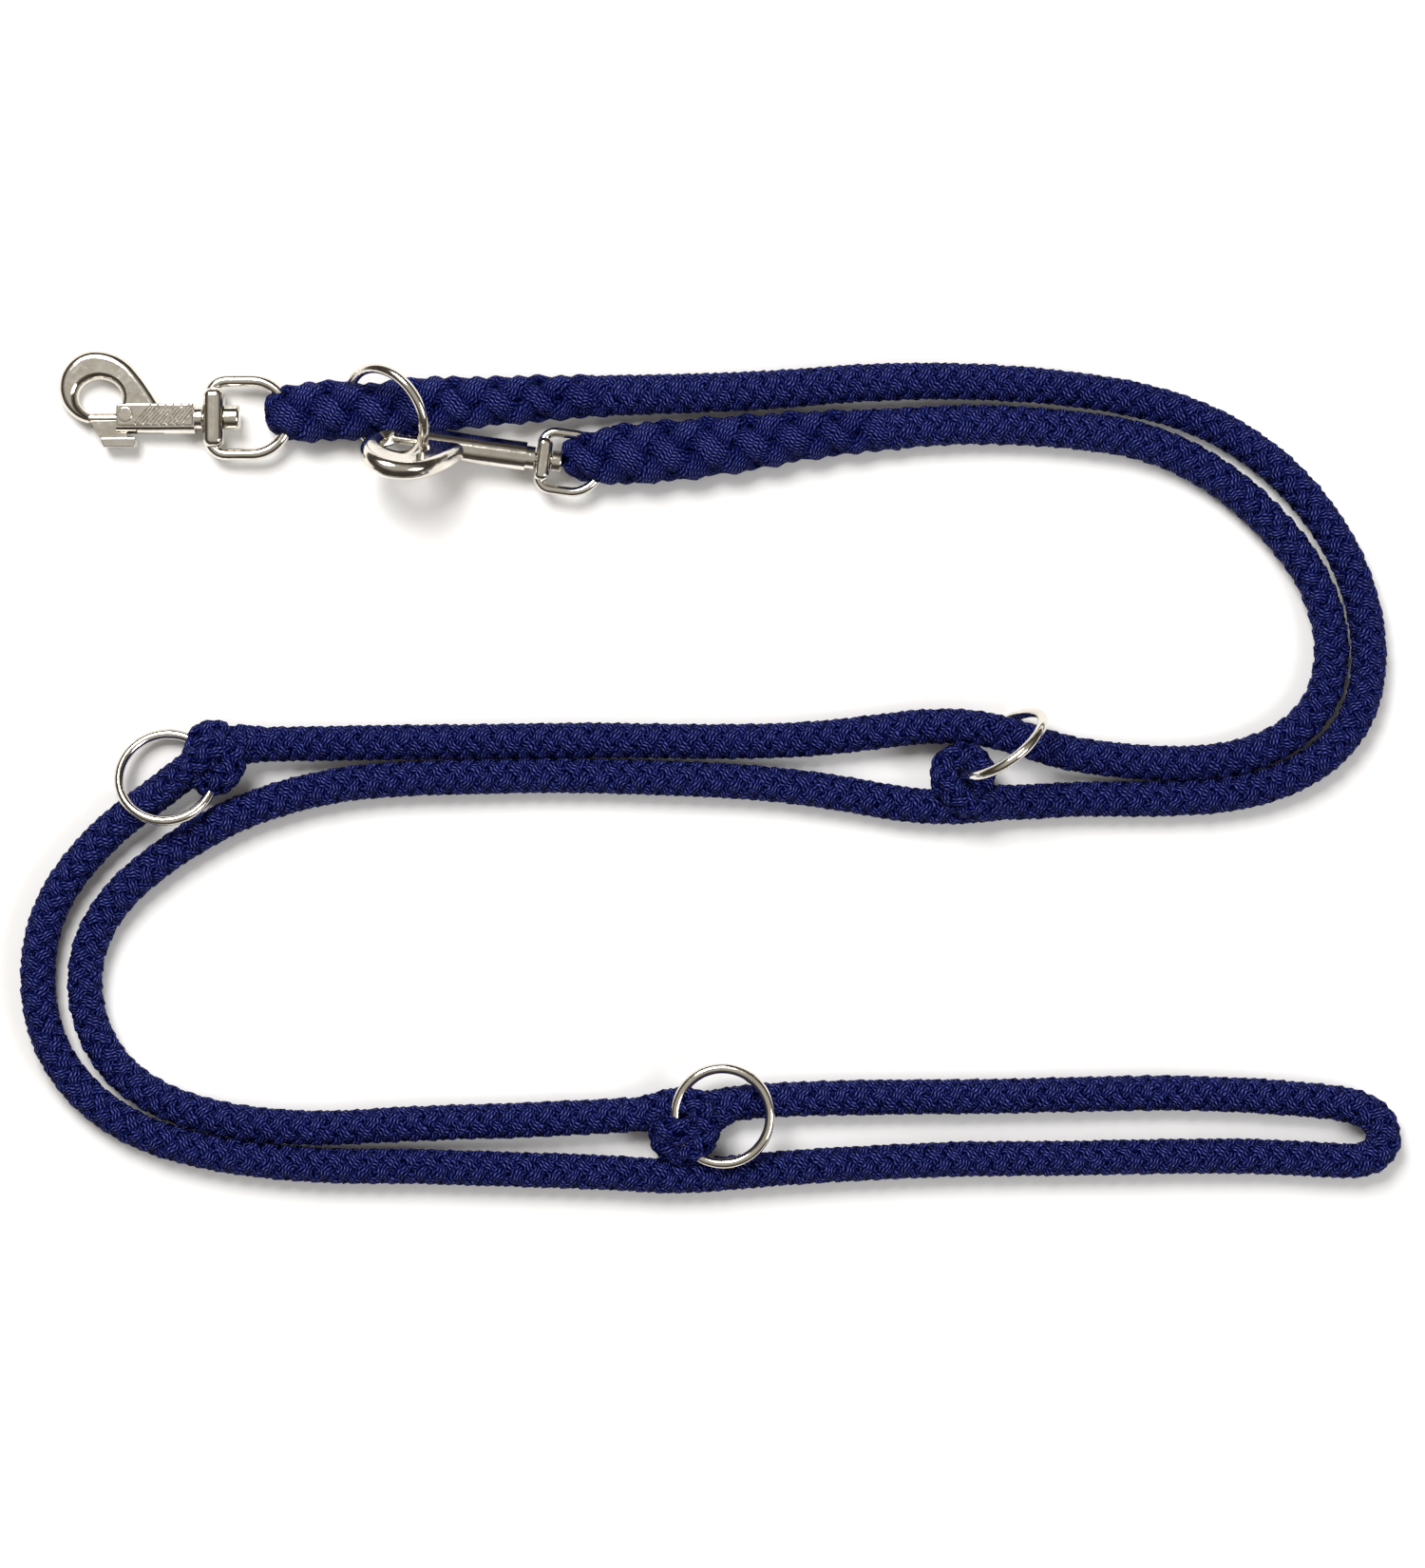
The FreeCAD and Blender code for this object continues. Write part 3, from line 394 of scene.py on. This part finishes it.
def evenly(line, step):
    """The same line with its points a fixed step apart."""
    runs = np.linalg.norm(np.diff(line, axis=0), axis=1)
    reach = np.concatenate([[0], np.cumsum(runs)])
    count = max(2, int(round(reach[-1] / step)) + 1)
    stations = np.linspace(0, reach[-1], count)
    return np.column_stack([np.interp(stations, reach, line[:, axis]) for axis in range(3)])


def unit(vectors):
    """Vectors scaled to length 1."""
    return vectors / np.maximum(np.linalg.norm(vectors, axis=1, keepdims=True), 1e-12)


def frames(line):
    """Side and up directions carried along a line without twisting."""
    ahead = unit(np.gradient(line, axis=0))
    up = np.zeros_like(line)
    start = np.array([0, 0, 1.0])
    if abs(ahead[0] @ start) > 0.9:
        start = np.array([0, 1.0, 0])
    current = start
    for i, direction in enumerate(ahead):
        current = current - direction * (current @ direction)
        current = current / np.linalg.norm(current)
        up[i] = current
    side = np.cross(ahead, up)
    return side, up


def smooth_random(rng, count, spacing):
    """Slowly changing random values along a plait, about -1 to 1."""
    knots = rng.uniform(-1, 1, max(4, count // spacing + 3))
    return np.interp(np.linspace(0, len(knots) - 1, count), np.arange(len(knots)), knots)


def plait(line, side, up, angle, radius, wide, thick, rise, flatten, rng, uneven):
    """Corners, yarn coordinates and painted shade of one plait that winds round a line."""
    count = len(line)
    sway = smooth_random(rng, count, 5)
    swell = 1 + PLAIT_SWELL * uneven * smooth_random(rng, count, 4)
    angle = angle + PLAIT_SWAY * uneven * sway
    lift = radius + rise + PLAIT_LIFT * smooth_random(rng, count, 4)
    out = np.cos(angle)[:, None] * side + (flatten * np.sin(angle))[:, None] * up
    middle = line + out * lift[:, None]
    ahead = unit(np.gradient(middle, axis=0))
    outward = unit(np.cos(angle)[:, None] * side * flatten[:, None] + np.sin(angle)[:, None] * up)
    outward = unit(outward - ahead * (outward * ahead).sum(1)[:, None])
    across = np.cross(ahead, outward)
    turns = np.linspace(0, 2 * math.pi, SECTION_POINTS, endpoint=False)
    ridge = 1 + PLAIT_RIDGE * np.cos(turns * SECTION_POINTS / 2)
    half_wide = (wide * swell / 2)[:, None]
    half_thick = (thick / 2)[:, None]
    x = np.cos(turns)[None, :] * ridge[None, :] * half_wide
    z = np.sin(turns)[None, :] * ridge[None, :] * half_thick
    corners = middle[:, None, :] + across[:, None, :] * x[..., None] + outward[:, None, :] * z[..., None]
    steps = np.linalg.norm(np.diff(middle, axis=0), axis=1)
    reach = np.concatenate([[0], np.cumsum(steps)])
    yarn = np.zeros((count, SECTION_POINTS, 3))
    yarn[..., 0] = x * 1000
    yarn[..., 1] = reach[:, None] * 1000
    yarn[..., 2] = rng.uniform(0, 10)
    # Painted shade: darker where the plait dips under the next one and on its side towards the rope's
    # middle.
    level = 0.5 + 0.5 * rise / np.maximum(np.abs(rise).max(), 1e-9)
    edge = np.sin(turns)[None, :] * 0.5 + 0.5
    shade = (0.30 + 0.70 * level[:, None]) * (0.25 + 0.75 * edge)
    return corners.reshape(-1, 3), yarn.reshape(-1, 3), shade.reshape(-1)


def tube_faces(count, around, offset):
    """Quads of an open tube whose sections follow one another."""
    rows = np.arange(count - 1)[:, None] * around
    here = np.arange(around)[None, :]
    after = (here + 1) % around
    quads = np.stack([rows + here, rows + after, rows + around + after, rows + around + here], axis=-1)
    return quads.reshape(-1, 4) + offset


def end_caps(count, around, offset):
    """The two faces that close the ends of a tube."""
    last = offset + (count - 1) * around
    return [list(range(offset + around - 1, offset - 1, -1)), list(range(last, last + around))]


def core(line, side, up, radius, flatten):
    """The filling inside a braid, so that no light shows between its plaits, painted almost black as shade.
    """
    turns = np.linspace(0, 2 * math.pi, SECTION_POINTS, endpoint=False)
    x = np.cos(turns)[None, :, None] * radius[:, None, None] * side[:, None, :]
    z = np.sin(turns)[None, :, None] * (radius * flatten)[:, None, None] * up[:, None, :]
    corners = line[:, None, :] + x + z
    count = len(line)
    points = count * SECTION_POINTS
    return corners.reshape(-1, 3), np.zeros((points, 3)), np.full(points, CORE_SHADE)


def braid(name, line, seed, cord, sizes=None, each_way=PLAITS_EACH_WAY, uneven=1.0):
    """A braided piece along a line. sizes gives radius, width, thickness, rise, pitch and
    flattening at each point; without it the piece is the plain rope."""
    rng = np.random.default_rng(seed)
    count = len(line)
    if sizes is None:
        sizes = plain_sizes(count)
    radius, wide, thick, rise, pitch, flatten = sizes
    side, up = frames(line)
    steps = np.linalg.norm(np.diff(line, axis=0), axis=1)
    turned = np.concatenate([[0], np.cumsum(steps / pitch[:-1])]) * 2 * math.pi
    weave = np.cos(turned * each_way) * rise
    blocks = [core(line, side, up, radius * CORE_SHARE, flatten)]
    for direction in (-1, 1):
        for number in range(each_way):
            start = 2 * math.pi * number / each_way + FIRST_PLAIT_ANGLE
            angle = start + direction * turned
            blocks.append(plait(line, side, up, angle, radius, wide, thick, weave * direction,
                                flatten, rng, uneven))
    corners = np.concatenate([b[0] for b in blocks])
    faces = np.concatenate([tube_faces(count, SECTION_POINTS, i * count * SECTION_POINTS)
                            for i in range(len(blocks))])
    caps = []
    for i in range(len(blocks)):
        caps += end_caps(count, SECTION_POINTS, i * count * SECTION_POINTS)
    mesh = bpy.data.meshes.new(name)
    mesh.from_pydata(corners.tolist(), [], faces.tolist() + caps)
    mesh.attributes.new("yarn", "FLOAT_VECTOR", "POINT").data.foreach_set(
        "vector", np.concatenate([b[1] for b in blocks]).astype(np.float32).ravel())
    mesh.attributes.new("painted_shade", "FLOAT", "POINT").data.foreach_set(
        "value", np.concatenate([b[2] for b in blocks]).astype(np.float32))
    mesh.polygons.foreach_set("use_smooth", np.ones(len(mesh.polygons), bool))
    mesh.materials.append(cord)
    piece = bpy.data.objects.new(name, mesh)
    bpy.context.scene.collection.objects.link(piece)
    return piece


def plain_sizes(count, scale=1.0):
    """Sizes of the plain rope, the same all along."""
    return [
        np.full(count, PLAIT_RADIUS * scale),
        np.full(count, PLAIT_WIDTH * scale),
        np.full(count, PLAIT_THICKNESS * scale),
        np.full(count, WEAVE_RISE * scale),
        np.full(count, BRAID_PITCH),
        np.ones(count),
    ]


def swollen_sizes(line, full_at_start, full_at_end):
    """Sizes of a plain length that is fuller and flatter where it leaves a splice."""
    steps = np.linalg.norm(np.diff(line, axis=0), axis=1)
    reach = np.concatenate([[0], np.cumsum(steps)])
    fullness = np.zeros(len(line))
    if full_at_start:
        fullness = np.maximum(fullness, 1 - reach / SWOLLEN_LENGTH)
    if full_at_end:
        fullness = np.maximum(fullness, 1 - (reach[-1] - reach) / SWOLLEN_LENGTH)
    scale = 1 + (SWOLLEN_SCALE - 1) * fullness
    sizes = plain_sizes(len(line))
    for i in range(4):
        sizes[i] = sizes[i] * scale
    sizes[5] = 1 / scale
    return sizes


def make_ropes(cord):
    """The five plain lengths of the rope."""
    lengths = {
        "rope_outer_curve": OUTER_CURVE,
        "rope_inner_curve": INNER_CURVE,
        "rope_handle_loop": HANDLE_LOOP,
        "rope_left_curve": LEFT_CURVE,
        "rope_middle_run": MIDDLE_RUN,
    }
    for seed, (name, route) in enumerate(lengths.items()):
        line = centreline(name, route)
        sizes = swollen_sizes(line, name == "rope_outer_curve", name == "rope_middle_run")
        piece = braid(name.replace("rope", "braid"), line, seed + 3, cord, sizes)
        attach(piece, "rope")
        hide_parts(name)


# ---------------------------------------------------------------- splices

def splice_sizes(line, profile, pitch):
    """Sizes of a splice whose overall radius follows (distance, radius, flattening) points."""
    steps = np.linalg.norm(np.diff(line, axis=0), axis=1)
    reach = np.concatenate([[0], np.cumsum(steps)])
    places = [p[0] for p in profile]
    overall = np.interp(reach, places, [p[1] for p in profile])
    flatten = np.interp(reach, places, [p[2] for p in profile])
    fullness = np.clip((overall - SPLICE_THIN_R) / SPLICE_FULL_MORE, 0, 1)
    thick = PLAIT_THICKNESS + (SPLICE_PLAIT_THICKNESS - PLAIT_THICKNESS) * fullness
    rise = WEAVE_RISE + (SPLICE_RISE - WEAVE_RISE) * fullness
    radius = np.maximum(overall - thick / 2 - rise, SPLICE_LEAST_RADIUS)
    wide = np.minimum(SPLICE_PLAIT_WIDTH, radius * SPLICE_WIDTH_LIMIT)
    return [radius, wide, thick, rise, np.full(len(line), pitch), flatten]


def make_splices(cord):
    """The two thick braided-back ends."""
    for name, body_part, route, profile, seed in (
        ("braid_front_splice", "front_splice", FRONT_SPLICE, FRONT_SPLICE_PROFILE, 21),
        ("braid_back_splice", "back_splice", BACK_SPLICE, BACK_SPLICE_PROFILE, 22),
    ):
        line = centreline(name, route)
        piece = braid(name, line, seed, cord, splice_sizes(line, profile, SPLICE_PITCH),
                      SPLICE_PLAITS_EACH_WAY, SPLICE_UNEVEN)
        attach(piece, "rope")
        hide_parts(body_part)


# ---------------------------------------------------------------- knots

def make_knots(cord):
    """The three knots, each the rope itself led through its own loop."""
    for name, body_part, route, scale, seed in (
        ("braid_left_knot", "left_knot", LEFT_KNOT, 0.84, 31),
        ("braid_middle_knot", "middle_knot", MIDDLE_KNOT, 0.84, 32),
        ("braid_handle_knot", "handle_knot", HANDLE_KNOT, 0.86, 33),
    ):
        line = centreline(name, route)
        piece = braid(name, line, seed, cord, plain_sizes(len(line), scale))
        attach(piece, "rope")
        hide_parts(body_part)


# ---------------------------------------------------------------- metal

def finish_metal(materials):
    """Plating on the CAD pieces, by their slot in the record."""
    for part in frame["record"]["subparts"]:
        if part["material_slot"] not in materials:
            continue
        node = frame["nodes"][part["node"]]
        node.data.materials.clear()
        node.data.materials.append(materials[part["material_slot"]])


def make_springs(steel):
    """A copy of each snap's spring, carried by its barrel."""
    joints = {joint["name"]: joint for joint in frame["record"]["behaviour"]["joints"]}
    for snap in ("front_snap", "back_snap"):
        node = frame["nodes"][snap + "_spring"]
        slide = joints[snap + "_bolt_slide"]
        piece = bpy.data.objects.new(snap + "_coil", node.data.copy())
        bpy.context.scene.collection.objects.link(piece)
        piece.matrix_world = node.matrix_world
        piece.data.materials.clear()
        piece.data.materials.append(steel)
        corners = np.array([node.matrix_world @ corner.co for corner in node.data.vertices])
        along = corners @ np.array(slide["axis"])
        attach(piece, snap + "_barrel")
        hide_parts(snap + "_spring")
        rear = corners[along.argmax()].tolist()
        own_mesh(piece)


# ---------------------------------------------------------------- stage and light

def make_floor():
    """A pale matt table under the lead."""
    mesh = bpy.data.meshes.new("floor")
    corners = [(x * FLOOR_HALF, y * FLOOR_HALF, 0) for x, y in ((-1, -1), (1, -1), (1, 1), (-1, 1))]
    mesh.from_pydata(corners, [], [(0, 1, 2, 3)])
    floor = bpy.data.objects.new("floor", mesh)
    bpy.context.scene.collection.objects.link(floor)
    material, tree, shader = new_material("floor")
    mottle = noise_node(tree, 6, 2.0)
    colour = ramp_node(tree, mottle, FLOOR_COLOURS)
    tree.links.new(colour, shader.inputs["Base Color"])
    shader.inputs["Roughness"].default_value = 0.9
    mesh.materials.append(material)


def area_light(name, place, size, power, colour):
    """A square soft light that points at the middle of the layout."""
    data = bpy.data.lights.new(name, "AREA")
    data.size = size
    data.energy = power
    data.color = colour
    light = bpy.data.objects.new(name, data)
    light.location = place
    light.rotation_euler = (-Vector(place)).to_track_quat("-Z", "Y").to_euler()
    bpy.context.scene.collection.objects.link(light)


def show_plain_colours():
    """Colours are shown as they are, without a film curve."""
    bpy.context.scene.view_settings.view_transform = "Standard"


def make_lights():
    """Soft daylight from above and behind, with a dim room for the metal to mirror."""
    area_light("window", **WINDOW)
    area_light("fill", **FILL)
    world = bpy.data.worlds.new("room")
    world.use_nodes = True
    tree = world.node_tree
    direction = tree.nodes.new("ShaderNodeTexCoord").outputs["Generated"]
    parts = tree.nodes.new("ShaderNodeSeparateXYZ")
    tree.links.new(direction, parts.inputs[0])
    room = ramp_node(tree, parts.outputs["Z"], ROOM_COLOURS)
    background = tree.nodes["Background"]
    tree.links.new(room, background.inputs["Color"])
    background.inputs["Strength"].default_value = 1.0
    bpy.context.scene.world = world


make_camera()
braid_material = cord_material()
make_ropes(braid_material)
make_splices(braid_material)
make_knots(braid_material)
metals = {"nickel_plate": nickel_material(), "spring_steel": spring_material()}
finish_metal(metals)
make_springs(metals["spring_steel"])
make_floor()
make_lights()
show_plain_colours()
